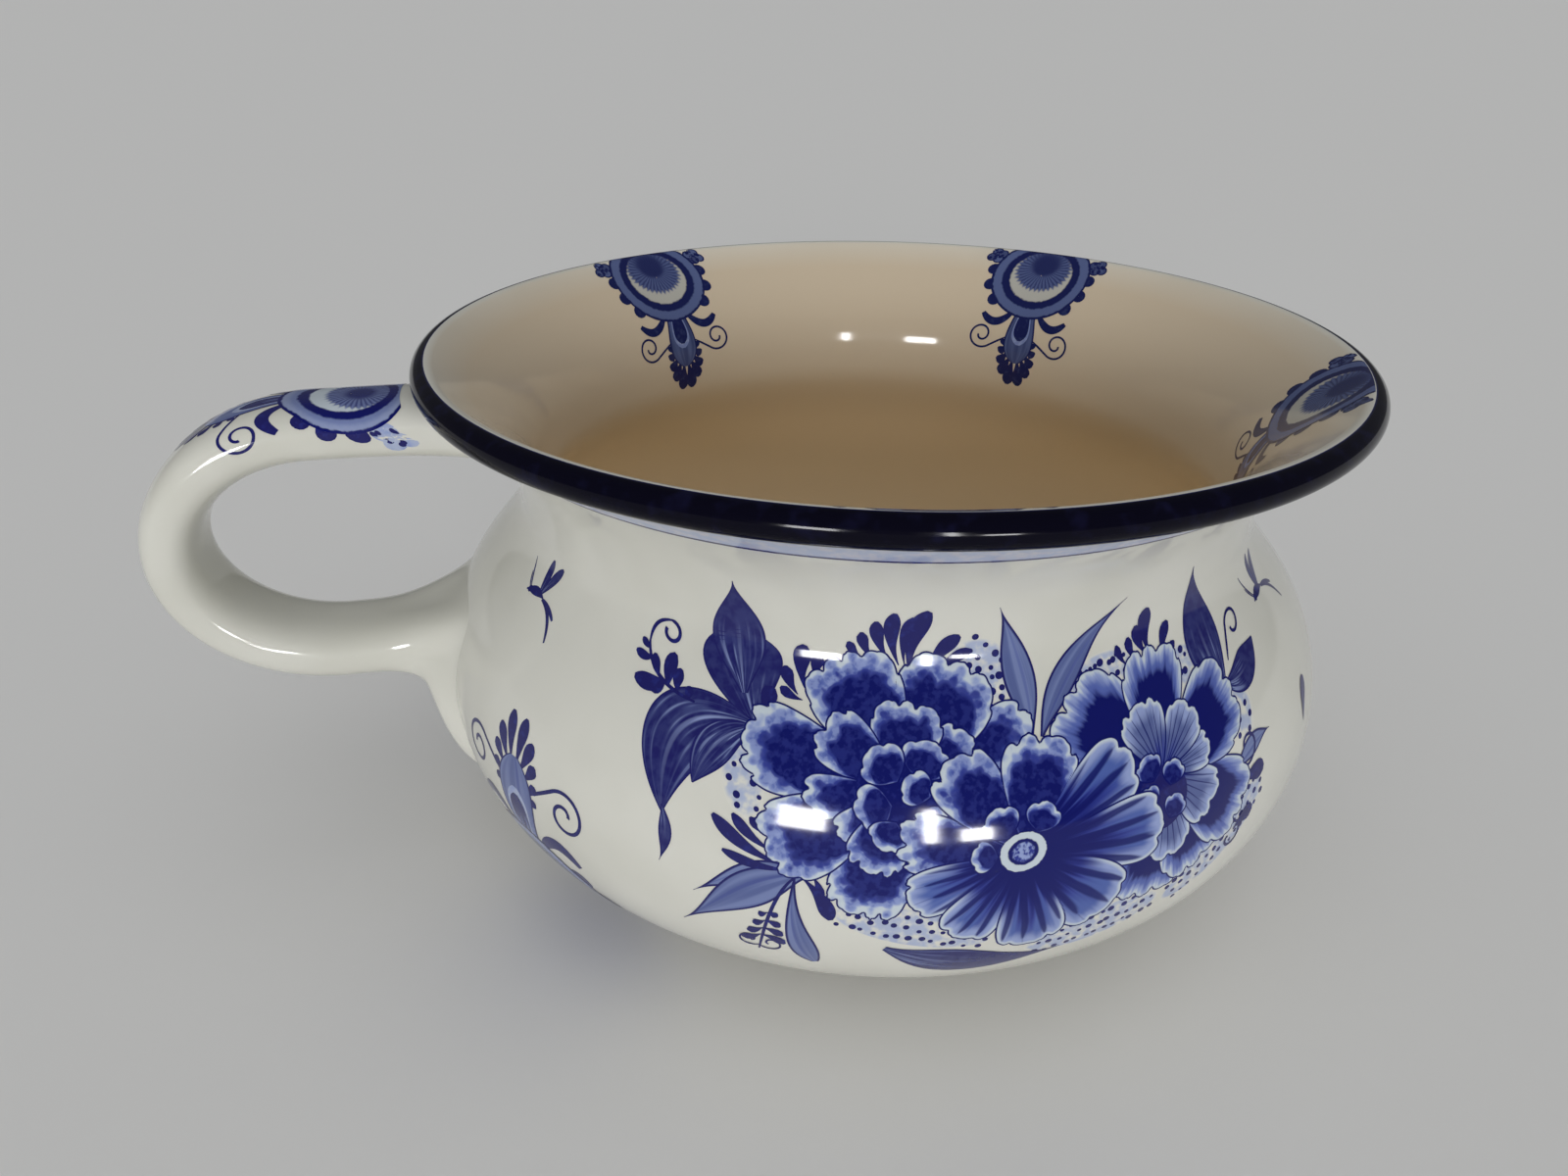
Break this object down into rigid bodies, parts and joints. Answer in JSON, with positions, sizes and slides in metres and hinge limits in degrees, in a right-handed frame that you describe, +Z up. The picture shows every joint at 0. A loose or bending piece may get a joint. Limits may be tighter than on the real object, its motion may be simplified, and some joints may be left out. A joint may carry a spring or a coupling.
{
  "type": "chamber pot",
  "caption": "Glazed earthenware chamber pot: round belly, waisted neck, flared mouth with a rolled cobalt rim, foot ring and one strap handle, with blue floral ornament",
  "frame": {"origin": "on the pot's axis, in the plane that the foot ring stands on", "axes": "+Z up along the pot's axis, the handle points to -X, and the main spray of flowers faces -Y"},
  "size_m": [0.3095, 0.241, 0.1415],
  "materials": {
    "white_glaze": "gloss",
    "cobalt_glaze": "gloss",
    "bare_clay": "matte"
  },
  "bodies": {
    "root": {"bowl_body": "white_glaze", "rim_band": "cobalt_glaze", "foot_ring": "bare_clay", "handle_strap": "white_glaze", "upper_handle_join": "white_glaze", "lower_handle_join": "white_glaze"}
  },
  "joints": []
}
